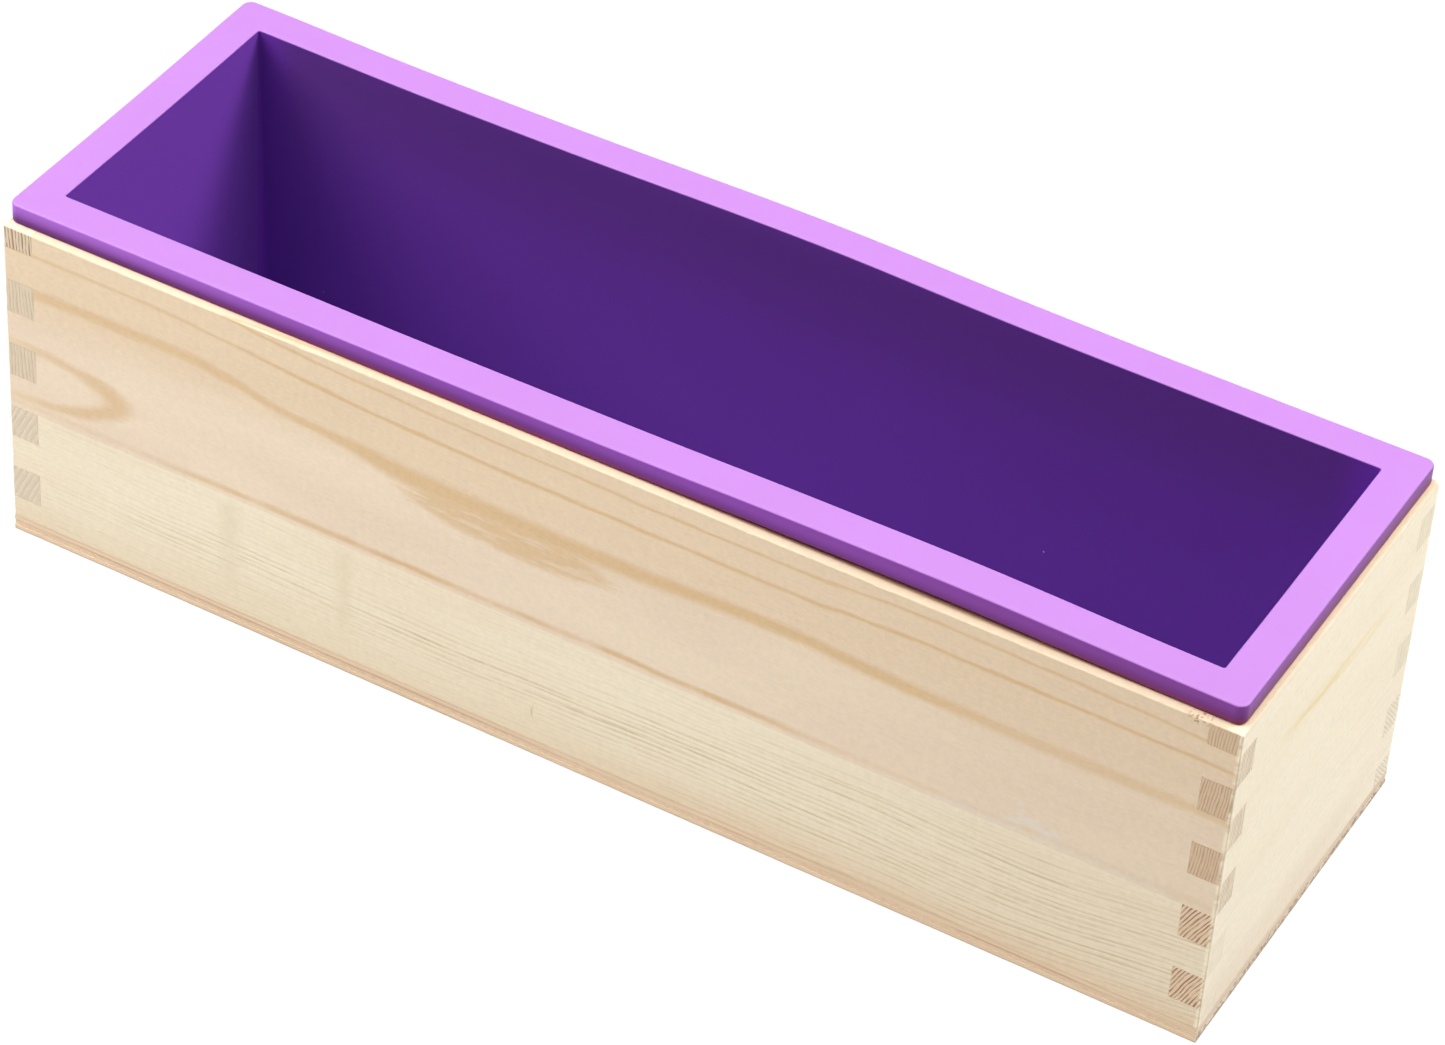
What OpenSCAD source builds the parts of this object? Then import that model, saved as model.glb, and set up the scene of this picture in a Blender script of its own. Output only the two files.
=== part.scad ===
// Soap loaf mould: a finger-jointed pine box that holds a flanged silicone liner.
// Millimetres. X runs along the loaf, -Y is the front, Z is up, and Z = 0 is the resting face.

/* [Box] */
// Outer length of the box
box_l = 280; // [200:1:400]
// Outer width of the box
box_w = 89; // [70:1:140]
// Height of the jointed frame, without the bottom board
frame_h = 76.5; // [70:0.5:110]
// Thickness of the side and end boards
board_t = 7; // [5:0.5:10]
// Thickness of the plywood bottom board
bottom_t = 4; // [3:0.5:6]

/* [Finger joints] */
// Height of a full finger
finger_h = 8.25; // [6:0.25:8.5]

/* [Brads] */
// Brads along each long side
brads_per_side = 4; // [2:1:6]
// Brads in each short end
brads_per_end = 2; // [1:1:3]
// Length of a brad
brad_l = 15; // [10:1:20]
// Depth of a brad's head below the bottom board's face
brad_set = 0.4; // [0.2:0.1:1]

/* [Silicone liner] */
// Thickness of the flange that lies on the box's rim
flange_t = 4.5; // [3:0.5:8]
// How much nearer the middle the flange ends than the box, at each end
flange_inset_x = 0.6; // [0:0.1:3]
// How much nearer the middle the flange ends than the box, at each side
flange_inset_y = 1; // [0:0.1:3]
// Corner radius of the flange
flange_r = 2; // [1:0.5:6]
// Thickness of the liner's walls
wall_t = 1; // [0.8:0.1:3]
// Thickness of the liner's floor
floor_t = 4; // [2:0.5:8]
// Play between the liner's body and each end board, at the rim
play_x = 0.9; // [0.9:0.1:2]
// Play between the liner's body and each side board, at the rim
play_y = 1.3; // [1.3:0.1:2]
// How far the loose liner lies towards the right end
liner_x = -0.6; // [-0.6:0.1:0.6]
// How far the loose liner lies towards the back
liner_y = 0.9; // [-0.9:0.1:0.9]
// How far each wall leans in, from the rim down to the floor
draft = 2; // [0.5:0.25:4]

/* [Hidden] */

$fn = 48;
hull_fn = 32;            // facets of the round corners inside a hull
over = 1;                // how far a cutting shape runs past what it cuts
box_h = bottom_t + frame_h;
rim_z = box_h + flange_t;

// Each corner has ten slots, counted up from the bottom board. The long boards fill the even ones
// and the end boards the odd ones. The board's edges cut the lowest and the highest slot short.
last_slot = 9;
edge_h = (frame_h - (last_slot - 1) * finger_h) / 2;
function slot_h(i) = (i == 0 || i == last_slot) ? edge_h : finger_h;
function slot_z(i) = i == 0 ? bottom_t : bottom_t + edge_h + (i - 1) * finger_h;

// Each board is two staves glued edge to edge, along the lower edge of this slot.
glue_slot = 4;
glue_z = slot_z(glue_slot);

// Flat-wire brad with a T head and a chisel point, and the spacing of the rows
brad_w = 1.25;
brad_t = 1;
brad_head_w = 2.2;
brad_head_t = 0.8;
brad_tip_w = 0.3;
brad_point_l = 1.5;
side_pitch = box_l / (brads_per_side + 0.5);
end_pitch = (box_w - 2 * board_t) / (brads_per_end + 0.5);

// The liner's body and cavity, as full sizes where each is widest
body_l = box_l - 2 * (board_t + play_x);
body_w = box_w - 2 * (board_t + play_y);
cavity_l = body_l - 2 * wall_t;
cavity_w = body_w - 2 * wall_t;
floor_gap = 0.3;         // between the liner's floor and the bottom board
body_z = bottom_t + floor_gap;
body_r = 2.5;            // upright corners and lower edges of the body
mouth_r = 0.4;           // upright corners of the cavity, at the rim
cavity_r = 2;            // lower corners and edges of the cavity

// ---- Boards -------------------------------------------------------------------------------------

// The slots from `first` up in twos, at both ends of a board that lies along X
module notches(along, first) {
    for (i = [first : 2 : last_slot], side = [-1, 1])
        translate([side * (along / 2 - board_t / 2 + over / 2), 0, slot_z(i) + slot_h(i) / 2])
            cube([board_t + over, board_t + 2 * over, slot_h(i)], center = true);
}

// A board with the other board's slots cut out, lying along X and centred in X and Y
module board(along, first_notch) {
    difference() {
        translate([-along / 2, -board_t / 2, bottom_t])
            cube([along, board_t, frame_h]);
        notches(along, first_notch);
    }
}

module below_glue_line() {
    translate([-box_l, -box_w, 0])
        cube([2 * box_l, 2 * box_w, glue_z]);
}

module upper() {
    difference() {
        children();
        below_glue_line();
    }
}

module lower() {
    intersection() {
        children();
        below_glue_line();
    }
}

// side is -1 for the front board and 1 for the back one
module long_board(side) {
    translate([0, side * (box_w - board_t) / 2, 0])
        board(box_l, 1);
}

// side is -1 for the left board and 1 for the right one
module end_board(side) {
    translate([side * (box_l - board_t) / 2, 0, 0])
        rotate([0, 0, 90])
            board(box_w, 0);
}

module lower_long(side) {
    difference() {
        lower() long_board(side);
        at_brads() brad();
    }
}

module lower_end(side) {
    difference() {
        lower() end_board(side);
        at_brads() brad();
    }
}

module front_upper_stave() { color("burlywood") upper() long_board(-1); }
module front_lower_stave() { color("wheat") lower_long(-1); }
module back_upper_stave() { color("burlywood") upper() long_board(1); }
module back_lower_stave() { color("wheat") lower_long(1); }
module left_end_upper_stave() { color("bisque") upper() end_board(-1); }
module left_end_lower_stave() { color("moccasin") lower_end(-1); }
module right_end_upper_stave() { color("bisque") upper() end_board(1); }
module right_end_lower_stave() { color("moccasin") lower_end(1); }

// The plywood board under the frame, flush with the boards on all sides
module bottom_board() {
    color("tan")
        difference() {
            translate([-box_l / 2, -box_w / 2, 0])
                cube([box_l, box_w, bottom_t]);
            at_brads() brad();
            at_brads() brad_pit();
        }
}

// ---- Brads --------------------------------------------------------------------------------------

// Puts its child at each brad, under the middle of the board's thickness, with the head along the board
module at_brads() {
    for (side = [-1, 1]) {
        for (i = [0 : brads_per_side - 1])
            translate([(i - (brads_per_side - 1) / 2) * side_pitch, side * (box_w - board_t) / 2, 0])
                children();
        for (i = [0 : brads_per_end - 1])
            translate([side * (box_l - board_t) / 2, (i - (brads_per_end - 1) / 2) * end_pitch, 0])
                rotate([0, 0, 90])
                    children();
    }
}

module brad() {
    half = [
        [brad_head_w / 2, 0],
        [brad_head_w / 2, brad_head_t],
        [brad_w / 2, brad_head_t],
        [brad_w / 2, brad_l - brad_point_l],
        [brad_tip_w / 2, brad_l]
    ];
    other_half = [for (i = [len(half) - 1 : -1 : 0]) [-half[i].x, half[i].y]];
    translate([0, 0, brad_set])
        rotate([90, 0, 0])
            linear_extrude(height = brad_t, center = true)
                polygon(concat(half, other_half));
}

// The mark that the driver leaves under a brad's head
module brad_pit() {
    translate([-brad_head_w / 2, -brad_t / 2, -over])
        cube([brad_head_w, brad_t, brad_set + over]);
}

module bottom_brads() {
    color("silver")
        at_brads() brad();
}

// ---- Silicone liner -----------------------------------------------------------------------------

module rounded_rectangle(l, w, r) {
    square([l, w - 2 * r], center = true);
    square([l - 2 * r, w], center = true);
    for (x = [-1, 1], y = [-1, 1])
        translate([x * (l / 2 - r), y * (w / 2 - r)])
            circle(r);
}

// A box that leans in by `draft` on each side, from l by w at top_z down to its round-edged floor
module drafted_box(l, w, top_z, floor_z, top_r, floor_r) {
    hull()
        for (x = [-1, 1], y = [-1, 1]) {
            translate([x * (l / 2 - top_r), y * (w / 2 - top_r), top_z])
                cylinder(r = top_r, h = over, $fn = hull_fn);
            translate([x * (l / 2 - draft - floor_r), y * (w / 2 - draft - floor_r), floor_z + floor_r])
                sphere(r = floor_r, $fn = hull_fn);
        }
}

module silicone_liner() {
    color("mediumorchid")
        translate([liner_x, liner_y, 0])
            difference() {
                union() {
                    translate([0, 0, box_h])
                        linear_extrude(height = flange_t)
                            rounded_rectangle(box_l - 2 * flange_inset_x, box_w - 2 * flange_inset_y, flange_r);
                    drafted_box(body_l, body_w, box_h, body_z, body_r, body_r);
                }
                drafted_box(cavity_l, cavity_w, rim_z, body_z + floor_t, mouth_r, cavity_r);
            }
}

front_upper_stave();
front_lower_stave();
back_upper_stave();
back_lower_stave();
left_end_upper_stave();
left_end_lower_stave();
right_end_upper_stave();
right_end_lower_stave();
bottom_board();
bottom_brads();
silicone_liner();
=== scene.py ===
import math
from collections import namedtuple
from functools import partial

import bmesh
import bpy
from mathutils import Matrix, Vector, noise


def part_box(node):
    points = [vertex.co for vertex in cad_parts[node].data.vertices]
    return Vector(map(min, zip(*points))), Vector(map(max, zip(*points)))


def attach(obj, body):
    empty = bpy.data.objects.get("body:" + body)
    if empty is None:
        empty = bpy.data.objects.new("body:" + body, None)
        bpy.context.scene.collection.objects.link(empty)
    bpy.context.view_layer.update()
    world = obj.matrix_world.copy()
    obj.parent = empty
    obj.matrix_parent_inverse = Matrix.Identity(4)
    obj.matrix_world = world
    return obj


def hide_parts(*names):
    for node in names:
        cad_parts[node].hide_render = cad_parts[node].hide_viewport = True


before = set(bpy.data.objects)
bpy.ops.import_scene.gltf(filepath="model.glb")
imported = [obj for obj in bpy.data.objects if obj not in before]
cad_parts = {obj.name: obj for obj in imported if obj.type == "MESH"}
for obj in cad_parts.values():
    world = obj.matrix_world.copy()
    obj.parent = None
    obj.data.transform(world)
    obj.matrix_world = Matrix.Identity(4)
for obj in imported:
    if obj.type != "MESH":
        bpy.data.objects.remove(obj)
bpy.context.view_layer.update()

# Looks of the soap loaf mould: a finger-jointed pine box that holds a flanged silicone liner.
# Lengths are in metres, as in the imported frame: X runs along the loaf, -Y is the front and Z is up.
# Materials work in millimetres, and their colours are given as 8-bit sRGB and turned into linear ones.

MM = 0.001

# ---- Places taken from the frame ----------------------------------------------------------------

bottom_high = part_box("bottom_board")[1]
upper_low, upper_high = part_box("front_upper_stave")
liner_low, liner_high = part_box("silicone_liner")

BOX_X = bottom_high.x                       # half the box's length
BOX_Y = bottom_high.y                       # half its width
BOTTOM_Z = bottom_high.z                    # where the jointed frame starts
GLUE_Z = upper_low.z                        # the line between the upper and the lower staves
TOP_Z = upper_high.z                        # the wooden rim
BOARD_T = upper_high.y - upper_low.y        # the pine's thickness
FLANGE_X = (liner_high.x - liner_low.x) / 2
FLANGE_Y = (liner_high.y - liner_low.y) / 2
LINER_X = (liner_high.x + liner_low.x) / 2  # the loose liner lies a little off the box's middle
LINER_Y = (liner_high.y + liner_low.y) / 2
RIM_Z = liner_high.z

# Ten slots at each corner, counted up from the bottom board: the first and the last are cut short
SLOTS = 10
FINGER_H = 8.25 * MM
EDGE_H = (TOP_Z - BOTTOM_Z - (SLOTS - 2) * FINGER_H) / 2

# Liner sizes that the frame's boxes don't hold
WALL_T = 1 * MM
FLOOR_T = 4 * MM
PLAY_X = 0.9 * MM                           # room between the trough and each end board
DRAFT = 2 * MM                              # how far each wall leans in from the rim down to the foot

TOUCHING = 1e-6                             # places closer than this are the same one

# ---- The box's four sides -----------------------------------------------------------------------

# Each side is seen from outside the box. A side's `point` says where a point of a board goes, in metres:
# `u` is to the right of the board's middle and `depth` is below its outer face. Its `place` gives a
# material's place on the board, in millimetres: `along` runs along the grain from the board's left end,
# `down` is below the wooden rim and `depth` is below the outer face.
Side = namedtuple("Side", "along_x point place")


def front_point(u, depth, z):
    return u, -BOX_Y + depth, z


def front_place(graph):
    return (graph.x + BOX_X) / MM, (TOP_Z - graph.z) / MM, (graph.y + BOX_Y) / MM


def back_point(u, depth, z):
    return -u, BOX_Y - depth, z


def back_place(graph):
    return (BOX_X - graph.x) / MM, (TOP_Z - graph.z) / MM, (BOX_Y - graph.y) / MM


def right_point(u, depth, z):
    return BOX_X - depth, u, z


def right_place(graph):
    return (graph.y + BOX_Y) / MM, (TOP_Z - graph.z) / MM, (BOX_X - graph.x) / MM


def left_point(u, depth, z):
    return -BOX_X + depth, -u, z


def left_place(graph):
    return (BOX_Y - graph.y) / MM, (TOP_Z - graph.z) / MM, (graph.x + BOX_X) / MM


FRONT = Side(True, front_point, front_place)
BACK = Side(True, back_point, back_place)
RIGHT = Side(False, right_point, right_place)
LEFT = Side(False, left_point, left_place)


# ---- Camera, lights and floor -------------------------------------------------------------------

def make_camera():
    """A long lens that looks down on the front and the right end."""
    data = bpy.data.cameras.new("camera")
    data.lens = 130.9
    data.sensor_width = 36
    camera = bpy.data.objects.new("camera", data)
    camera.location = (0.3844, -0.7317, 0.7246)
    camera.rotation_euler = [math.radians(angle) for angle in (50.14, -3.15, 29.98)]
    bpy.context.scene.collection.objects.link(camera)
    bpy.context.scene.camera = camera


def make_softbox(name, place, aim, size, watts):
    """A rectangular area light at `place` that faces `aim`."""
    data = bpy.data.lights.new(name, "AREA")
    data.shape = "RECTANGLE"
    data.size, data.size_y = size
    data.energy = watts
    light = bpy.data.objects.new(name, data)
    light.location = place
    light.rotation_euler = (Vector(aim) - Vector(place)).to_track_quat("-Z", "Y").to_euler()
    bpy.context.scene.collection.objects.link(light)


def make_studio():
    """Soft light from several sides, and a floor that stays white."""
    scene = bpy.context.scene
    scene.view_settings.view_transform = "Standard"
    world = bpy.data.worlds.new("studio")
    scene.world = world
    world.use_nodes = True
    background = world.node_tree.nodes["Background"].inputs
    background["Color"].default_value = (1, 1, 1, 1)
    background["Strength"].default_value = 0.04

    middle = (0, 0, TOP_Z / 2)
    make_softbox("left_softbox", (-0.85, -0.3, 0.8), middle, (0.7, 0.7), 11)
    make_softbox("front_left_softbox", (-0.45, -0.3, 1.05), middle, (0.8, 0.7), 5.6)
    make_softbox("overhead_softbox", (0, 0, 1.2), middle, (0.5, 0.5), 7)
    make_softbox("back_right_softbox", (0.55, 0.5, 0.9), middle, (0.5, 0.5), 11)
    make_softbox("right_softbox", (0.95, 0.1, 0.75), middle, (0.6, 0.6), 2.5)
    make_softbox("low_front_fill", (-0.55, -1.2, 0.07), middle, (0.6, 0.12), 2.65)

    reach = 3
    below = -0.05 * MM                      # clear of the box's underside, so that the two faces don't mix
    corners = [(-reach, -reach), (reach, -reach), (reach, reach), (-reach, reach)]
    floor = mesh_object("floor", [(x, y, below) for x, y in corners], [(0, 1, 2, 3)])
    floor.data.materials.append(floor_material())


# ---- Materials ----------------------------------------------------------------------------------

def linear(red, green, blue):
    """8-bit sRGB as the linear colour that a shader takes."""
    channels = [channel / 255 for channel in (red, green, blue)]
    return (*[c / 12.92 if c <= 0.04045 else ((c + 0.055) / 1.055) ** 2.4 for c in channels], 1)


class Field:
    """A number that varies over the surface. Arithmetic on it adds Math nodes to its material."""

    def __init__(self, graph, socket):
        self.graph = graph
        self.socket = socket

    def __add__(self, other):
        return self.graph.math("ADD", self, other)

    def __radd__(self, other):
        return self.graph.math("ADD", other, self)

    def __sub__(self, other):
        return self.graph.math("SUBTRACT", self, other)

    def __rsub__(self, other):
        return self.graph.math("SUBTRACT", other, self)

    def __mul__(self, other):
        return self.graph.math("MULTIPLY", self, other)

    def __truediv__(self, other):
        return self.graph.math("DIVIDE", self, other)

    def __pow__(self, other):
        return self.graph.math("POWER", self, other)

    def magnitude(self):
        return self.graph.math("ABSOLUTE", self)

    def fraction(self):
        return self.graph.math("FRACT", self)

    def root(self):
        return self.graph.math("SQRT", self)

    def rise(self, start, end):
        """0 before start, 1 after end, and smooth in between; start may be the larger one."""
        return self.graph.rise(self, start, end)

    def line(self, centre, half_width):
        """1 on the line where the field is `centre`, and smoothly 0 at half_width from it."""
        return (self - centre).magnitude().rise(half_width, 0)


class Graph:
    """A material in the making. Its methods add nodes to it and give what they put out."""

    def __init__(self, name):
        self.material = bpy.data.materials.new(name)
        self.material.use_nodes = True
        self.tree = self.material.node_tree
        self.shader = self.tree.nodes["Principled BSDF"]
        surface = self.node("TexCoord").outputs
        self.x, self.y, self.z = self.split(surface["Object"])
        self.upward = self.split(surface["Normal"])[2]

    def node(self, kind, inputs=(), **settings):
        made = self.tree.nodes.new("ShaderNode" + kind)
        for name, value in settings.items():
            setattr(made, name, value)
        for key, value in dict(inputs).items():
            self.put(made.inputs[key], value)
        return made

    def split(self, vector):
        parts = self.node("SeparateXYZ", {"Vector": vector})
        return [Field(self, parts.outputs[axis]) for axis in "XYZ"]

    def put(self, socket, value):
        if isinstance(value, Field):
            value = value.socket
        if isinstance(value, bpy.types.NodeSocket):
            self.tree.links.new(value, socket)
        else:
            socket.default_value = value

    def set(self, **inputs):
        """Sets the shader's own inputs, whose names have _ for a space."""
        for name, value in inputs.items():
            self.put(self.shader.inputs[name.replace("_", " ")], value)

    def math(self, operation, *values):
        return Field(self, self.node("Math", enumerate(values), operation=operation).outputs[0])

    def rise(self, value, start, end):
        inputs = {"Value": value, "From Min": start, "From Max": end}
        made = self.node("MapRange", inputs, interpolation_type="SMOOTHSTEP")
        return Field(self, made.outputs["Result"])

    def larger(self, first, second):
        return self.math("MAXIMUM", first, second)

    def vector(self, x, y, z):
        return self.node("CombineXYZ", {"X": x, "Y": y, "Z": z}).outputs[0]

    def noise(self, x, y, z, detail=2.0, roughness=0.5):
        """Noise from about 0 to 1, with features one unit across."""
        inputs = {"Vector": self.vector(x, y, z), "Scale": 1.0, "Detail": detail, "Roughness": roughness}
        return Field(self, self.node("TexNoise", inputs).outputs["Fac"])

    def specks(self, x, y, z, size):
        """1 at the centre of round specks, one in each unit cell."""
        cells = self.node("TexVoronoi", {"Vector": self.vector(x, y, z), "Scale": 1.0})
        return Field(self, cells.outputs["Distance"]).rise(size, size / 3)

    def curve(self, value, points):
        """A smooth curve of value through a few (value, result) points, level past both ends."""
        lows = [min(point[i] for point in points) for i in (0, 1)]
        spans = [max(point[i] for point in points) - lows[i] for i in (0, 1)]
        made = self.node("FloatCurve", {"Value": (value - lows[0]) / spans[0]})
        shape = made.mapping.curves[0]
        while len(shape.points) < len(points):
            shape.points.new(0.5, 0.5)
        for handle, point in zip(shape.points, points):
            handle.location = [(point[i] - lows[i]) / spans[i] for i in (0, 1)]
        made.mapping.extend = "HORIZONTAL"
        made.mapping.update()
        return Field(self, made.outputs[0]) * spans[1] + lows[1]

    def mix(self, share, first, second):
        """The first colour where share is 0 and the second where it is 1."""
        made = self.node("Mix", {"Factor": share}, data_type="RGBA")
        # The node has sockets of the same names for numbers and vectors, so its colours go by place
        first_colour, second_colour, mixed_colour = 6, 7, 2
        self.put(made.inputs[first_colour], first)
        self.put(made.inputs[second_colour], second)
        return made.outputs[mixed_colour]

    def shade(self, colour, factor):
        """The colour times a field."""
        made = self.node("VectorMath", operation="SCALE")
        self.put(made.inputs[0], colour)
        self.put(made.inputs["Scale"], factor)
        return made.outputs[0]

    def bump(self, height, distance):
        """Shades the surface as if it stood up by height times distance, in metres."""
        made = self.node("Bump", {"Height": height, "Distance": distance, "Strength": 1.0})
        self.put(self.shader.inputs["Normal"], made.outputs["Normal"])


def floor_material():
    """A pale floor that gives light, so that no shadow shows on it."""
    graph = Graph("studio_floor")
    graph.set(Base_Color=linear(40, 40, 40), Roughness=0.8, Specular_IOR_Level=0.1)
    graph.set(Emission_Color=linear(255, 255, 255), Emission_Strength=1.0)
    return graph.material


# ---- Pine ---------------------------------------------------------------------------------------

# A figure says how strongly the grain's lines show at a place on a board, and a tint how strongly its colour
# does; some tints are painted shade, one a painted glow. They all take the same arguments, and each uses what
# it needs.

def front_upper_figure(graph, along, down, depth):
    """Flat-sawn lines that dip together past the left end, over a closed loop at the left."""
    down = down + depth * 1.5
    wobble = graph.noise(along / 26, down / 9, depth / 9) - 0.5
    ragged = graph.noise(along / 11, down / 1.2, depth, 4, 0.6)
    level = down + wobble * 1.2 + (ragged - 0.5) * 1.1

    first = graph.curve(along, [
        (46, -1), (60, 0.8), (74, 2), (96, 3), (150, 4.1), (190, 4.2), (208, 3.2), (280, 5),
    ])
    second = graph.curve(along, [
        (0, 4.9), (34, 5.2), (56, 6.4), (76, 8.2), (92, 9.3), (150, 10.4), (190, 10.4), (200, 9.6), (280, 10),
    ])
    third = graph.curve(along, [
        (0, 15.4), (36, 14.2), (54, 15.6), (66, 18), (84, 19.6),
        (106, 21.6), (150, 21.8), (180, 20.6), (222, 22), (280, 21.8),
    ])
    half_width = graph.curve(along, [
        (8, 2.2), (50, 2.2), (66, 1.7), (84, 2.8), (110, 4), (150, 3), (220, 2.4), (280, 2.2),
    ])
    first_line = (level - first).line(0, 0.75) * along.rise(44, 60) * 0.6
    second_line = (level - second).line(0, 0.9) * (0.5 + along.rise(50, 76) * 0.2)
    third_line = ((level - third) / half_width).magnitude().rise(1, 0.15)
    third_line = third_line * (0.55 + along.rise(60, 100) * 0.15 - along.rise(205, 245) * 0.25)
    lowest = graph.noise(along / 18, 0, 5).rise(0.3, 0.6) * along.rise(30, 60) * along.rise(205, 180)
    lowest_line = level.line(44.7, 1.3) * (0.2 + lowest * 0.6)

    across = (level + wobble * 3 - 36.5 + along * 0.05) / 7.2
    forward = (along + 12) / 39.5
    loop = ((across * across + forward * forward * forward).root() - 1).magnitude().rise(0.23, 0.03)
    loop = loop * graph.rise(along, -14, 22) * 0.6

    patch_x = (along - 121) / 27
    patch_y = (down - 26.2 - patch_x * 1.2) / 5
    patch = (patch_x * patch_x + patch_y * patch_y + (ragged - 0.5) * 1.4).rise(1.05, 0.5)
    patch = patch * (0.3 + ragged.rise(0.38, 0.52) * 0.32)

    figure = graph.larger(graph.larger(first_line, second_line), graph.larger(third_line, lowest_line))
    return graph.larger(graph.larger(figure, loop), patch)


def fine_figure(graph, along, down, depth, spacing, contrast, slope):
    """Close, slightly wavy lines, as a rift-sawn stave has. `slope` is how they slant through the board."""
    wave = graph.noise(along / 90, down / 40, depth / 40) * 6
    level = (down + depth * slope + wave) / spacing
    uneven = graph.noise(along / 400, level / 1.3, 0)
    ring = (level + uneven * 1.2).fraction()
    line = ring.rise(0.2, 0.75) * ring.rise(1.0, 0.85)
    fading = graph.noise(along / 45, level, 3).rise(0.25, 0.7)
    return line * fading * contrast


def front_lower_figure(graph, along, down, depth):
    """Fine broken lines, closest at the right, with two faint bands across them and one small scratch."""
    tilted = down + along.rise(215, 300) * 6
    lines = fine_figure(graph, along, tilted, depth, 1.3, 0.85, 0.8)
    where = along.rise(130, 220) * down.rise(46, 56) + down.line(63, 9) * along.rise(10, 60)
    broken = graph.noise(along / 7, tilted / 0.8, depth, 2).rise(0.35, 0.6)
    lines = lines * (0.22 + graph.math("MINIMUM", where, 1) * 0.78) * (0.4 + broken * 0.6)
    bands = graph.larger(along.line(55, 5), along.line(83, 3.5))
    bands = bands * down.rise(46, 50) * down.rise(74, 64) * 0.24
    scratch = (along - 128.5 - (down - 69) ** 2 / 9).line(0, 0.4) * down.line(69, 2.8) * 0.8
    return graph.larger(graph.larger(lines, bands), scratch)


def right_upper_figure(graph, along, down, depth):
    """Faint fine lines and one yellowish streak."""
    lines = fine_figure(graph, along, down, depth, 1.9, 0.2, 0.3)
    torn = graph.noise(along / 12, down / 1.5, depth, 3)
    streak = (down - 18.5 - (along - 30) * 0.05).line(0, 3.4) * along.rise(16, 32) * along.rise(84, 55)
    return graph.larger(lines, streak * torn.rise(0.3, 0.6) * 0.8)


def cathedral_figure(graph, along, down, depth, middle, lean, seed):
    """
    Nested arches, as a flat-sawn stave has, about the height `middle`. `lean` is how fast the log's heart
    drops away along the stave, and each seed gives other arches.
    """
    bend = graph.noise(along / 45, down / 18, seed) * 5
    height = (down - middle + bend - 2.5) * 0.62
    heart = (along - 20) * lean + depth + 14
    radius = (height * height + heart * heart).root()
    uneven = graph.noise(radius / 6, seed, 0) * 1.5
    ring = (radius / 4.6 + uneven).fraction()
    fading = graph.noise(along / 30, down / 7, seed + 2).rise(0.2, 0.6)
    return ring.rise(0.5, 0.88) * ring.rise(1.0, 0.93) * (0.35 + fading * 0.65) * 0.6


def top_edge(graph, along, down, depth):
    """The board's upper edge, darker than its faces."""
    return down.rise(0.4, 0.1)


def painted_silicone_glow(graph, along, down, depth):
    """Painted glow: the rim under the flange is tinted rosier, as the silicone's reddish light would tint its
    shadow gap.
    """
    return down.rise(0.5, 0.2) * depth.rise(1.7, 2.3) * along.rise(1.7, 2.3)


def golden_top(graph, along, down, depth):
    """The part of the front above its broad line, yellower than the part below."""
    return down.rise(27, 15) * 0.6


def painted_shade_right(graph, along, down, depth):
    """Painted shade: the front grows darker towards its right end, where less light falls on it."""
    return along.rise(110, 290) * 0.4


def painted_shade_front_foot(graph, along, down, depth):
    """Painted shade: the front's foot is darker and browner, as near the floor."""
    return down.rise(62, 78) * 0.6


def painted_shade_right_foot(graph, along, down, depth):
    """Painted shade: the right end's foot is darker and browner near the floor, most of all beside the front.
    """
    return (down.rise(62, 72) * 0.35 + down.rise(75, 76.5) * 0.5) * along.rise(88, 45)


def front_filler(graph, along, down, depth):
    """Smears of pale filler on the front's glue line, near its right end."""
    torn = graph.noise(along / 3.5, down / 1.5, 7, 3)
    smear = ((along - 241) / 8) ** 2 + ((down - 43.8) / 3) ** 2
    spike = (along - 237.5).line(0, 1.2) * down.rise(36, 40)
    joint = down.line(45.3, 2) * along.rise(218, 224) * along.rise(276, 266) * 0.8
    return graph.larger(graph.larger(smear.rise(1, 0.4), spike), joint) * torn.rise(0.35, 0.6) * 0.75


def chipped_rim(graph, along, down, depth):
    """Small dark chips in the front's rim, beside the finger at its right end."""
    torn = graph.noise(along / 0.9, down / 0.7, depth, 3)
    return torn.rise(0.5, 0.62) * ((along - 271) / 4).line(0, 1) * down.rise(2.2, 0.4) * 0.9


def rosy_foot(graph, along, down, depth):
    """A pinker, resinous edge along the foot of the front, widest at its right end."""
    widening = down.rise(69, 79) * along.rise(110, 190)
    return graph.larger(widening, down.rise(75, 77.5)) * 0.75


# Pale rubbed wear on the right end's upright corners, made paler still as a painted highlight
RUBBED_AND_LIT_PINE = (254, 241, 210)


def rubbed_and_lit_corner(graph):
    """Where the upright corners of the right end are rubbed pale in narrow, uneven strips, with a painted
    highlight.
    """
    start, full = 1.2 * MM, 0.4 * MM
    uneven = graph.noise(graph.x / (9 * MM), graph.y / (9 * MM), graph.z / (2.2 * MM), 3).rise(0.3, 0.6)
    near_end = graph.rise(graph.x, BOX_X - start, BOX_X - full)
    near_side = graph.rise(graph.y.magnitude(), BOX_Y - start, BOX_Y - full)
    return near_end * near_side * uneven * 0.8


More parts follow.
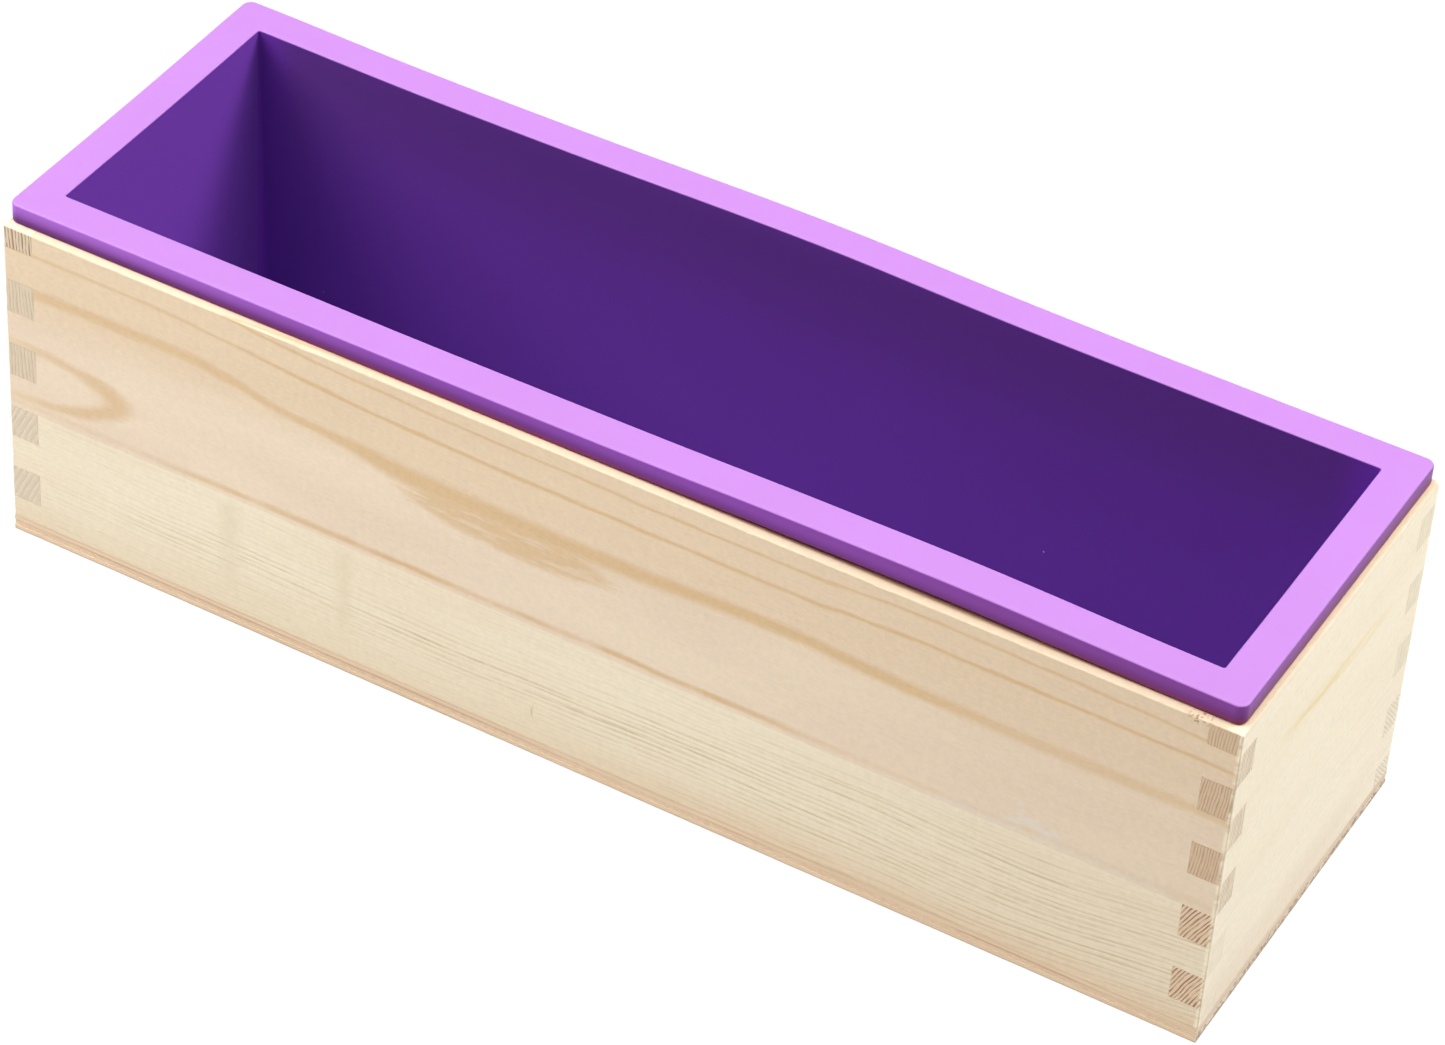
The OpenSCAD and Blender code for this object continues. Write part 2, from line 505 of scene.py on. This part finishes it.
def pine(name, side, figure, tones, line_colour, *tints):
    """Bare sanded pine that drifts between two tones. Each tint comes with its colour; some are painted
    shade, one a painted glow.
    """
    graph = Graph(name)
    along, down, depth = side.place(graph)
    drift = graph.noise(along / 70, down / 16, depth / 16, 3).rise(0.35, 0.68)
    colour = graph.mix(drift, *[linear(*tone) for tone in tones])
    for tint, tint_colour in tints:
        colour = graph.mix(tint(graph, along, down, depth), colour, linear(*tint_colour))
    lines = figure(graph, along, down, depth)
    colour = graph.mix(lines, colour, linear(*line_colour))
    colour = graph.mix(rubbed_and_lit_corner(graph), colour, linear(*RUBBED_AND_LIT_PINE))

    fibres = graph.noise(along / 9, down * 2.4, depth * 2.4, 4, 0.7)
    dashes = graph.noise(along / 2.2, down * 5, depth * 5, 2, 0.5).rise(0.66, 0.8)
    ripple = graph.noise(along / 1.6, down / 2.6, depth / 2.6, 3, 0.6)
    flecks = graph.noise(along / 1.3, down / 0.7, depth / 0.7, 2, 0.6)
    shade = 1 + (fibres - 0.5) * 0.12 + (ripple - 0.5) * 0.12 + (flecks - 0.5) * 0.14 - dashes * 0.06
    colour = graph.shade(colour, shade)

    graph.set(Base_Color=colour, Roughness=0.62 + (fibres - 0.5) * 0.2, Specular_IOR_Level=0.25)
    graph.bump(fibres + ripple * 0.3 + flecks * 0.4 - dashes * 0.4 - lines * 0.3, 0.1 * MM)
    return graph.material


def end_grain(name, side, base, line_colour, spacing, lean, contrast, top_contrast=None):
    """
    The cut ends of a stave. The ring lines are `spacing` apart and lean from upright by `lean` in depth a
    millimetre. They show by `contrast`, but by `top_contrast` in the highest finger.
    """
    graph = Graph(name)
    along, down, depth = side.place(graph)
    curve = graph.noise(depth / 12, down / 12, along / 60) * 1.6
    level = (depth + down * lean + curve) / spacing
    uneven = graph.noise(level / 1.6, 0, 0)
    ring = (level + uneven).fraction()
    lines = ring.rise(0.35, 0.8) * ring.rise(1.0, 0.85)
    grit = graph.noise(depth * 3.2, down * 3.2, along, 3, 0.75)
    broken = graph.noise(level, down / 3, along, 3).rise(0.25, 0.6)
    if top_contrast is not None:
        contrast = contrast + down.rise(8, 6) * (top_contrast - contrast)
    colour = graph.mix(lines * broken * contrast, linear(*base), linear(*line_colour))
    colour = graph.mix(rubbed_and_lit_corner(graph), colour, linear(*RUBBED_AND_LIT_PINE))
    blotch = graph.noise(depth / 3, down / 3, along / 30)
    colour = graph.shade(colour, 0.98 + (grit - 0.5) * 0.2 + (blotch - 0.5) * 0.14)
    graph.set(Base_Color=colour, Roughness=0.8, Specular_IOR_Level=0.15)
    graph.bump(grit - lines * 0.5, 0.1 * MM)
    return graph.material


# ---- Plywood, silicone and wire -----------------------------------------------------------------

def plywood(name, grain_along_x, base, dark, torn=0):
    """A veneer, or the plies' sawn edge with painted shade along its lower arris, where it meets the floor.
    `torn` is how dark its tears are.
    """
    graph = Graph(name)
    x, y, z = graph.x / MM, graph.y / MM, graph.z / MM
    along, across = (x, y) if grain_along_x else (y, x)
    streak = graph.noise(along / 22, across / 1.4, z * 2, 4, 0.65)
    drift = graph.noise(along / 60, across / 14, z, 2)
    colour = graph.mix(streak.rise(0.35, 0.75), linear(*base), linear(*dark))
    upper_glue = 2 * BOTTOM_Z / MM / 3
    seam = z.line(upper_glue, 0.35) * graph.noise(x / 60, y / 60, 2).rise(0.45, 0.55) * 0.5
    colour = graph.mix(seam, colour, linear(168, 112, 84))
    # Painted shade: the lowest part darkens where the board meets the floor
    painted_floor_shade = z.rise(0.8, 0.1) * 0.55
    colour = graph.mix(painted_floor_shade, colour, linear(150, 124, 104))
    if torn:
        tears = graph.noise(x / 2, y / 2, z, 4, 0.7) + z.rise(3.2, 0) * 0.22
        colour = graph.mix(tears.rise(0.6, 0.7) * torn, colour, linear(122, 98, 80))
    colour = graph.shade(colour, 0.94 + drift * 0.12)
    graph.set(Base_Color=colour, Roughness=0.75, Specular_IOR_Level=0.2)
    graph.bump(streak, 0.1 * MM)
    return graph.material


def silicone():
    """Soft silicone in lit and shaded copies: painted paler on the rim's top than on the flange's edge and
    down its walls.
    """
    graph = Graph("purple_silicone")
    x, y, z = graph.x / MM, graph.y / MM, graph.z / MM
    half_length, top, rim = BOX_X / MM, TOP_Z / MM, RIM_Z / MM
    cloud = graph.noise(x / 30, y / 30, z / 30, 3)
    grain = graph.noise(x * 2.2, y * 2.2, z * 2.2, 3, 0.6)

    # The trough, a shaded copy of the purple: painted shade, duller, towards its mouth and painted light,
    # bluer, on its end walls
    trough = graph.mix(cloud, linear(102, 42, 152), linear(107, 46, 158))
    trough = graph.mix(z.rise(rim - 30, rim - 6), trough, linear(99, 42, 141))
    trough = graph.mix(x.magnitude().rise(120, 129), trough, linear(111, 41, 167))

    # The flange's side, a shaded copy of the purple: painted shade, darker low down and redder to the right
    side = graph.mix(z.rise(top + 1, rim - 0.5), linear(104, 44, 130), linear(136, 67, 170))
    side = graph.mix(x.rise(0, half_length) * 0.4, side, linear(119, 52, 114))
    # Painted light, paler, at the upper left of the flange's side
    upper_left = x.rise(-20, -half_length) * z.rise(top + 0.5, top + 4)
    side = graph.mix(upper_left * 0.85, side, linear(168, 100, 204))
    # Painted shade, darker and redder, at the flange's foot and on its underside
    foot = graph.larger(z.rise(top + 2, top + 0.3) * 0.65, graph.upward.rise(-0.2, -0.6))
    foot_colour = graph.mix(x.rise(-half_length, 0), linear(94, 38, 100), linear(138, 46, 72))
    side = graph.mix(foot, side, foot_colour)

    inner_x, inner_y = (BOX_X - BOARD_T) / MM, (BOX_Y - BOARD_T) / MM
    on_side = graph.larger(x.magnitude() - inner_x, y.magnitude() - inner_y).rise(0, 1)
    colour = graph.mix(on_side, trough, side)
    # Painted light: the rim's top is a paler, lit copy of the purple, the rest of the liner a shaded one
    lit_rim_colour = graph.mix(cloud, linear(162, 111, 181), linear(167, 116, 187))
    on_rim = graph.upward.rise(0.35, 0.7) * z.rise(top + 1, top + 2)
    colour = graph.mix(on_rim, colour, lit_rim_colour)
    dust = graph.specks(x / 13, y / 13, z / 13, 0.02)
    colour = graph.mix(dust * 0.8, colour, linear(235, 225, 240))

    dull = on_side * (1 - on_rim)
    graph.set(
        Base_Color=colour,
        Roughness=0.42 + (grain - 0.5) * 0.15,
        Subsurface_Weight=0.15,
        Subsurface_Radius=(1.0, 0.5, 1.2),
        Subsurface_Scale=2 * MM,
        IOR=1.41,
        Specular_IOR_Level=0.5 - dull * 0.3,
        Sheen_Weight=0.15 - dull * 0.12,
        Sheen_Roughness=0.5,
    )
    graph.bump(grain, 0.01 * MM)
    return graph.material


def steel():
    """Bright drawn wire, with fine scratches."""
    graph = Graph("galvanised_wire")
    x, y, z = graph.x / MM, graph.y / MM, graph.z / MM
    scratch = graph.noise(x * 2, y * 9, z * 2, 3)
    colour = graph.mix(scratch, linear(176, 178, 180), linear(205, 206, 205))
    graph.set(Base_Color=colour, Metallic=1.0, Roughness=0.34 + scratch * 0.2)
    graph.bump(scratch, 0.02 * MM)
    return graph.material


# ---- Mesh helpers -------------------------------------------------------------------------------

def mesh_object(name, points, faces):
    """A new object in the scene, from its points and its faces' point numbers."""
    mesh = bpy.data.meshes.new(name)
    mesh.from_pydata([tuple(point) for point in points], [], faces)
    mesh.update()
    made = bpy.data.objects.new(name, mesh)
    bpy.context.scene.collection.objects.link(made)
    return made


def face_outwards(piece):
    """Turns every face of a closed piece outwards."""
    shape = bmesh.new()
    shape.from_mesh(piece.data)
    bmesh.ops.recalc_face_normals(shape, faces=shape.faces)
    shape.to_mesh(piece.data)
    shape.free()


def apply_modifiers(piece):
    """Keeps what the modifiers make as the piece's own mesh."""
    shaped = piece.evaluated_get(bpy.context.evaluated_depsgraph_get())
    mesh = bpy.data.meshes.new_from_object(shaped)
    piece.modifiers.clear()
    piece.data = mesh


def smooth(piece, sharpest=45):
    """
    Smooth shading that keeps large flat faces flat. Edges that turn by more than `sharpest` degrees stay
    crisp.
    """
    for face in piece.data.polygons:
        face.use_smooth = True
    piece.data.set_sharp_from_angle(angle=math.radians(sharpest))
    piece.modifiers.new("flat_faces", "WEIGHTED_NORMAL").keep_sharp = True


def dress(piece, body, slot, *nodes):
    """Puts a finished piece in the place of its CAD nodes."""
    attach(piece, body)
    if nodes:
        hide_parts(*nodes)


# ---- Boards -------------------------------------------------------------------------------------

ARRIS = 0.32 * MM           # rounding of the box's own edges
INNER_ARRIS = ARRIS * 0.6   # rounding of the rim's inner edges
HAIRLINE = 0.07 * MM        # rounding along a glued joint
STEP = 1.6 * MM             # spacing of points along a worn edge
WEAR = 0.22 * MM            # about how deep the nicks in the box's own edges are


def slot_z(i):
    """The height where slot i starts, or the rim's where i is past the last."""
    if i == 0:
        return BOTTOM_Z
    return min(BOTTOM_Z + EDGE_H + (i - 1) * FINGER_H, TOP_Z)


def stave_outline(half_length, first_notch, low, high):
    """
    The stave's outline as (u, height) points, from the bottom of its right end up and round to its left.
    Every other slot from `first_notch` on is a notch.
    """
    right = []
    for i in range(SLOTS):
        z_low, z_high = max(slot_z(i), low), min(slot_z(i + 1), high)
        if z_high - z_low > MM:
            reach = half_length - (BOARD_T if i % 2 == first_notch else 0)
            right += [(reach, z_low), (reach, z_high)]
    return right + [(-u, z) for u, z in reversed(right)]


def stave_mesh(name, outline, side):
    """An outline on one side of the box, made BOARD_T thick."""
    outer = [side.point(u, 0, z) for u, z in outline]
    inner = [side.point(u, BOARD_T, z) for u, z in outline]
    count = len(outline)
    sides = [(i, (i + 1) % count, count + (i + 1) % count, count + i) for i in range(count)]
    piece = mesh_object(name, outer + inner, [tuple(range(count)), tuple(range(count, 2 * count)), *sides])
    face_outwards(piece)
    return piece


def outer_planes(point):
    """Which of the box's outer planes a point is on."""
    gaps = {"x": abs(point.x) - BOX_X, "y": abs(point.y) - BOX_Y, "top": point.z - TOP_Z}
    return {plane for plane, gap in gaps.items() if abs(gap) < TOUCHING}


def edge_rounding(edge):
    """How far an edge of a stave is rounded: 0 for a glued edge and for the root of a notch."""
    if not edge.is_convex:
        return 0
    first, second = (vert.co for vert in edge.verts)
    if all(abs(end.z - GLUE_Z) < TOUCHING for end in (first, second)):
        return 0
    shared = outer_planes(first) & outer_planes(second)
    if len(shared) >= 2:
        return ARRIS
    if "top" in shared and (first - second).length > 5 * BOARD_T:
        return INNER_ARRIS
    return HAIRLINE if shared else 0


def ease_edges(piece):
    """Rounds each edge by its own amount, with points close together along the worn ones."""
    shape = bmesh.new()
    shape.from_mesh(piece.data)
    shape.edges.ensure_lookup_table()
    worn = [edge for edge in shape.edges if edge_rounding(edge) == ARRIS]
    for edge in worn:
        cuts = int(edge.calc_length() / STEP)
        if cuts:
            bmesh.ops.subdivide_edges(shape, edges=[edge], cuts=cuts)
    weights = shape.edges.layers.float.new("bevel_weight_edge")
    for edge in shape.edges:
        edge[weights] = edge_rounding(edge) / ARRIS
    shape.to_mesh(piece.data)
    shape.free()
    bevel = piece.modifiers.new("eased_edges", "BEVEL")
    bevel.limit_method = "WEIGHT"
    bevel.width = ARRIS
    bevel.segments = 3
    apply_modifiers(piece)


def wear_edges(piece):
    """Dents the box's own edges unevenly. Neighbouring boards wear alike, because the noise goes by place."""
    grain_size, nick_size, other_place = 3.5 * MM, 7 * MM, Vector((9, 9, 9))
    for vert in piece.data.vertices:
        x, y, z = point = Vector(vert.co)
        gaps = sorted([(BOX_X - abs(x), 0), (BOX_Y - abs(y), 1), (TOP_Z - z, 2)])
        from_edge = gaps[1][0]
        if from_edge > ARRIS * 1.01:
            continue
        grain = noise.noise(point / grain_size)
        nick = max(0, noise.noise(point / nick_size + other_place) - 0.35) * 3
        dent = WEAR * (0.35 * (grain + 0.6) + nick) * (1 - from_edge / ARRIS)
        for axis in (gaps[0][1], gaps[1][1]):
            if axis == 2:
                vert.co.z -= dent
            else:
                vert.co[axis] -= math.copysign(dent, point[axis])


def make_stave(node, side, face, end):
    """The visible stave for one CAD node, with its face material and its end-grain material."""
    low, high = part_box(node)
    half_length, first_notch = (BOX_X, 1) if side.along_x else (BOX_Y, 0)
    piece = stave_mesh("pine_" + node, stave_outline(half_length, first_notch, low.z, high.z), side)
    ease_edges(piece)
    wear_edges(piece)
    piece.data.materials.append(face)
    piece.data.materials.append(end)
    for polygon in piece.data.polygons:
        cut_end = abs(polygon.normal.x if side.along_x else polygon.normal.y) > 0.8
        polygon.material_index = 1 if cut_end else 0
    smooth(piece)
    dress(piece, "box", "pine", node)


def make_boards():
    """Eight staves, two to each side of the box."""
    rosy, cream = (233, 213, 188), (238, 222, 193)
    straw = (220, 199, 160)
    make_stave(
        "front_upper_stave", FRONT,
        pine(
            "pine_front_upper", FRONT, front_upper_figure,
            [(238, 218, 192), (233, 211, 186)], (214, 176, 122),
            (golden_top, (228, 201, 166)),
            (painted_shade_right, (222, 199, 171)),
            (front_filler, (228, 218, 204)),
            (chipped_rim, (150, 110, 66)),
            (painted_silicone_glow, (222, 183, 166)),
        ),
        end_grain(
            "end_front_upper", FRONT, (234, 218, 193), (168, 146, 122),
            spacing=0.8, lean=0.05, contrast=0.75,
        ),
    )
    make_stave(
        "front_lower_stave", FRONT,
        pine(
            "pine_front_lower", FRONT, front_lower_figure,
            [(242, 229, 203), (240, 224, 196)], (206, 182, 142),
            (painted_shade_front_foot, (228, 208, 176)),
            (painted_shade_right, (230, 213, 186)),
            (rosy_foot, (230, 200, 168)),
        ),
        end_grain(
            "end_front_lower", FRONT, (242, 229, 206), (196, 172, 140),
            spacing=1.2, lean=0.7, contrast=0.15,
        ),
    )
    make_stave(
        "back_upper_stave", BACK,
        pine(
            "pine_back_upper", BACK, partial(cathedral_figure, middle=20, lean=0.12, seed=4),
            [cream, rosy], (218, 184, 138),
        ),
        end_grain(
            "end_back_upper", BACK, (236, 224, 200), (172, 146, 116),
            spacing=1.1, lean=0.1, contrast=0.2,
        ),
    )
    make_stave(
        "back_lower_stave", BACK,
        pine(
            "pine_back_lower", BACK, partial(fine_figure, spacing=2.1, contrast=0.6, slope=1.2),
            [cream, (234, 216, 184)], straw,
        ),
        end_grain(
            "end_back_lower", BACK, (236, 224, 202), (172, 146, 116),
            spacing=1.2, lean=0.9, contrast=0.2,
        ),
    )
    make_stave(
        "right_end_upper_stave", RIGHT,
        pine(
            "pine_right_upper", RIGHT, right_upper_figure,
            [(243, 231, 208), (240, 227, 202)], (232, 212, 158),
            (top_edge, (222, 202, 172)),
            (painted_silicone_glow, (222, 183, 166)),
        ),
        end_grain(
            "end_right_upper", RIGHT, (217, 188, 157), (150, 120, 90),
            spacing=0.62, lean=-0.1, contrast=0.45, top_contrast=0.35,
        ),
    )
    make_stave(
        "right_end_lower_stave", RIGHT,
        pine(
            "pine_right_lower", RIGHT, partial(fine_figure, spacing=2.2, contrast=0.12, slope=1.0),
            [(243, 231, 208), (241, 228, 205)], straw,
            (painted_shade_right_foot, (224, 202, 176)),
        ),
        end_grain(
            "end_right_lower", RIGHT, (232, 203, 172), (134, 92, 60),
            spacing=0.88, lean=-0.55, contrast=0.9,
        ),
    )
    make_stave(
        "left_end_upper_stave", LEFT,
        pine(
            "pine_left_upper", LEFT, partial(cathedral_figure, middle=30, lean=0.2, seed=8),
            [cream, rosy], straw,
        ),
        end_grain(
            "end_left_upper", LEFT, (226, 208, 182), (162, 116, 80),
            spacing=0.85, lean=-0.05, contrast=0.3, top_contrast=1.0,
        ),
    )
    make_stave(
        "left_end_lower_stave", LEFT,
        pine(
            "pine_left_lower", LEFT, partial(fine_figure, spacing=2.4, contrast=0.5, slope=0.9),
            [cream, (238, 221, 190)], straw,
        ),
        end_grain(
            "end_left_lower", LEFT, (227, 210, 186), (190, 170, 146),
            spacing=1.5, lean=0.5, contrast=0.15,
        ),
    )


# ---- Bottom board and brads ---------------------------------------------------------------------

PLY_STEP = 0.09 * MM        # how far the core ply sits back from the sawn edge
PIT_L, PIT_W, PIT_H = 2.3 * MM, 1.1 * MM, 1.3 * MM      # the pit that holds a brad's head


def slab_ring(inset, z):
    """Points round the bottom board's edge, with a sawn edge's unevenness."""
    half_x, half_y = BOX_X - inset, BOX_Y - inset
    unevenness, grain_size = 0.06 * MM, 2.5 * MM
    corners = [(-half_x, -half_y), (half_x, -half_y), (half_x, half_y), (-half_x, half_y)]
    points = []
    for i, (x, y) in enumerate(corners):
        next_x, next_y = corners[(i + 1) % 4]
        steps = int(max(abs(next_x - x), abs(next_y - y)) / (2 * STEP))
        for step in range(steps):
            share = step / steps
            point = Vector((x + (next_x - x) * share, y + (next_y - y) * share, z))
            inward = unevenness * (0.7 - noise.noise(point / grain_size))
            for axis, half in ((0, half_x), (1, half_y)):
                if half - abs(point[axis]) < TOUCHING:
                    point[axis] -= math.copysign(1, point[axis]) * inward
            points.append(point)
    return points


def loft(name, rings):
    """Closed rings of equal length joined into one closed solid."""
    count = len(rings[0])
    points = [point for ring in rings for point in ring]
    faces = [
        (
            level * count + i,
            level * count + (i + 1) % count,
            (level + 1) * count + (i + 1) % count,
            (level + 1) * count + i,
        )
        for level in range(len(rings) - 1)
        for i in range(count)
    ]
    last = (len(rings) - 1) * count
    faces += [tuple(reversed(range(count))), tuple(range(last, last + count))]
    return mesh_object(name, points, faces)


def clusters(points, reach):
    """The middle of each group of points, where groups are more than reach apart."""
    groups = []
    for point in points:
        group = next((group for group in groups if (point - group[0]).length < reach), None)
        if group is None:
            groups.append([point])
        else:
            group.append(point)
    return [sum(group, Vector()) / len(group) for group in groups]


def cut_pits(board):
    """Cuts the pit that each brad's head was driven into. The brads' own CAD solids say where."""
    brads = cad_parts["bottom_brads"].data
    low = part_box("bottom_brads")[0].z
    heads = [vert.co for vert in brads.vertices if vert.co.z < low + 0.01 * MM]
    shape = bmesh.new()
    for centre in clusters(heads, 2 * PIT_L):
        lies_along_x = abs(abs(centre.y) - (BOX_Y - BOARD_T / 2)) < 0.1 * MM
        size = (PIT_L, PIT_W, 2 * PIT_H) if lies_along_x else (PIT_W, PIT_L, 2 * PIT_H)
        matrix = Matrix.Translation((centre.x, centre.y, 0)) @ Matrix.Diagonal((*size, 1))
        bmesh.ops.create_cube(shape, size=1, matrix=matrix)
    mesh = bpy.data.meshes.new("pits")
    shape.to_mesh(mesh)
    shape.free()
    cutter = bpy.data.objects.new("pits", mesh)
    bpy.context.scene.collection.objects.link(cutter)
    cut = board.modifiers.new("pits", "BOOLEAN")
    cut.operation = "DIFFERENCE"
    cut.object = cutter
    apply_modifiers(board)
    bpy.data.objects.remove(cutter)


def make_bottom():
    """Three plies with the core's edge set back, and a worn lower arris."""
    ply = BOTTOM_Z / 3
    ramp = 0.06 * MM                        # half the height of the slope between two plies' edges
    profile = [
        (0.35 * MM, 0),
        (0.1 * MM, 0.12 * MM),
        (0, 0.35 * MM),
        (0, ply - ramp),
        (PLY_STEP, ply + ramp),
        (PLY_STEP, 2 * ply - ramp),
        (0, 2 * ply + ramp),
        (0, BOTTOM_Z - 0.08 * MM),
        (0.08 * MM, BOTTOM_Z),
    ]
    board = loft("plywood_bottom", [slab_ring(inset, z) for inset, z in profile])
    cut_pits(board)
    face, core_edge, long_edge, end_edge = range(4)
    for material in (
        plywood("ply_face", True, (236, 212, 180), (222, 192, 156)),
        plywood("ply_core_edge", False, (231, 203, 172), (218, 187, 154)),
        plywood("ply_face_edge", True, (231, 205, 174), (219, 189, 157)),
        plywood("ply_end_edge", False, (223, 204, 180), (210, 188, 162), 0.6),
    ):
        board.data.materials.append(material)
    for polygon in board.data.polygons:
        if abs(polygon.normal.z) > 0.7:
            polygon.material_index = face
        elif abs(polygon.normal.x) > 0.5:
            polygon.material_index = end_edge
        elif abs(polygon.center.z - BOTTOM_Z / 2) < ply / 2:
            polygon.material_index = core_edge
        else:
            polygon.material_index = long_edge
    smooth(board, 20)
    dress(board, "box", "plywood", "bottom_board")


def finish_brads():
    """The brads keep their CAD solids, with a wire's finish and rounded edges."""
    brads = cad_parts["bottom_brads"]
    brads.data.materials.clear()
    brads.data.materials.append(steel())
    brads.modifiers.new("joined", "WELD").merge_threshold = 0.01 * MM
    bevel = brads.modifiers.new("rounded", "BEVEL")
    bevel.width = 0.08 * MM
    bevel.segments = 2


# ---- Silicone liner -----------------------------------------------------------------------------

CORNER_STEPS = 6            # faces round a corner
WALL_STEPS = 6              # rings up or down a wall
SIDE_STEP = 6 * MM          # spacing of points along a straight side
FLANGE_R = 2.2 * MM         # the flange's corners, seen from above


def arc(centre, radius, start, end, steps=4):
    """Points on an arc, from start to end in degrees."""
    angles = [math.radians(start + (end - start) * i / steps) for i in range(steps + 1)]
    return [(centre[0] + radius * math.cos(a), centre[1] + radius * math.sin(a)) for a in angles]


def rounded_ring(half_x, half_y, radius, z):
    """A rounded rectangle, with the same number of points whatever its size."""
    across, along = round(FLANGE_Y * 2 / SIDE_STEP), round(FLANGE_X * 2 / SIDE_STEP)
    corners = [(1, -1, -90), (1, 1, 0), (-1, 1, 90), (-1, -1, 180)]
    curves = [
        arc((x * (half_x - radius), y * (half_y - radius)), radius, start, start + 90, CORNER_STEPS)
        for x, y, start in corners
    ]
    points = []
    for i, curve in enumerate(curves):
        end, goal = Vector(curve[-1]), Vector(curves[(i + 1) % 4][0])
        steps = along if i % 2 else across
        sides = [end.lerp(goal, step / steps) for step in range(1, steps)]
        points += [Vector((x, y, z)) for x, y in [*curve, *sides]]
    return points


def liner_profile():
    """
    The liner's cross-section as (inset from the flange's edge, height, plan corner radius), from the
    trough's underside round to the cavity's floor.
    """
    trough = FLANGE_X - (BOX_X - BOARD_T - PLAY_X)
    cavity = trough + WALL_T
    under = liner_low.z
    floor = under + FLOOR_T
    lean = DRAFT / (TOP_Z - under)
    heel_r, floor_r, foot_r, edge_r, mouth_r = 2.5 * MM, 2 * MM, 0.3 * MM, 0.5 * MM, 0.35 * MM
    shares = [step / WALL_STEPS for step in range(1, WALL_STEPS + 1)]

    def trough_inset(z):
        return trough + (TOP_Z - z) * lean

    def cavity_inset(z):
        return cavity + (RIM_Z - z) * lean

    # Up the outside of the trough
    start = under + heel_r
    heel = arc((trough_inset(start) + heel_r, start), heel_r, 270, 180)
    outside = [start + (TOP_Z - start) * share for share in shares]
    points = [(x, z, heel_r) for x, z in heel]
    points += [(trough_inset(z), z, heel_r) for z in outside]

    # Round the flange, from its underside to the mouth
    points.append((1.2 * MM, TOP_Z, 1.5 * MM))
    points += [(x, z, FLANGE_R - x) for x, z in arc((foot_r, TOP_Z + foot_r), foot_r, 270, 180, 3)]
    points += [(x, z, FLANGE_R - x) for x, z in arc((edge_r, RIM_Z - edge_r), edge_r, 180, 90)]
    points.append((cavity / 2, RIM_Z, 1.2 * MM))
    mouth_corner = 0.5 * MM
    lip = arc((cavity - mouth_r, RIM_Z - mouth_r), mouth_r, 90, 0)
    points += [(x, z, mouth_corner + cavity - x) for x, z in lip]

    # Down the inside to the floor, where the corners are rounder
    start, end = RIM_Z - mouth_r, floor + floor_r
    for share in shares:
        z = start + (end - start) * share
        points.append((cavity_inset(z), z, mouth_corner + (floor_r - mouth_corner) * share))
    points += [(x, z, floor_r) for x, z in arc((cavity_inset(end) + floor_r, end), floor_r, 180, 270)[1:]]
    return points


def swell(distance, reach):
    """1 at no distance, falling smoothly to almost nothing at twice the reach."""
    return math.exp(-((distance / reach) ** 2))


def flex(point):
    """
    Where a point of the soft liner settles. Its long sides and one corner lift a little, and its walls
    bow.
    """
    past_crest = point.x - 75 * MM
    front_wave = 1.2 * MM * swell(past_crest, (40 if past_crest > 0 else 64) * MM)
    back_wave = 1.25 * MM * swell(point.x, 42 * MM)
    wave = front_wave if point.y < 0 else back_wave
    on_long_side = max(0, min(1, (abs(point.y) - BOX_Y / 2) / (BOX_Y / 8)))
    corner = 0.8 * MM * swell((point.xy - Vector((-FLANGE_X, FLANGE_Y))).length, 28 * MM)
    ripple = 0.1 * MM * (noise.noise(Vector((point.x / (30 * MM), point.y / (30 * MM), 4.1))) + 0.5)
    height = max(0, min(1, 1 - (TOP_Z - point.z) / (25 * MM)))
    lift = height * (on_long_side * wave + corner + ripple)
    bow = 0
    if point.z < TOP_Z - 0.01 * MM:
        place = Vector((point.x / (40 * MM), point.z / (30 * MM), point.y / (50 * MM)))
        bow = 0.1 * MM * noise.noise(place)
    return point + Vector((0, bow, lift))


def make_liner():
    """One closed skin through a ring for each point of the cross-section."""
    rings = [
        [
            flex(point) + Vector((LINER_X, LINER_Y, 0))
            for point in rounded_ring(FLANGE_X - inset, FLANGE_Y - inset, radius, z)
        ]
        for inset, z, radius in liner_profile()
    ]
    liner = loft("purple_liner", rings)
    face_outwards(liner)
    liner.data.materials.append(silicone())
    smooth(liner)
    dress(liner, "liner", "silicone", "silicone_liner")


# ---- The scene ----------------------------------------------------------------------------------

make_camera()
make_studio()
make_boards()
make_bottom()
finish_brads()
make_liner()
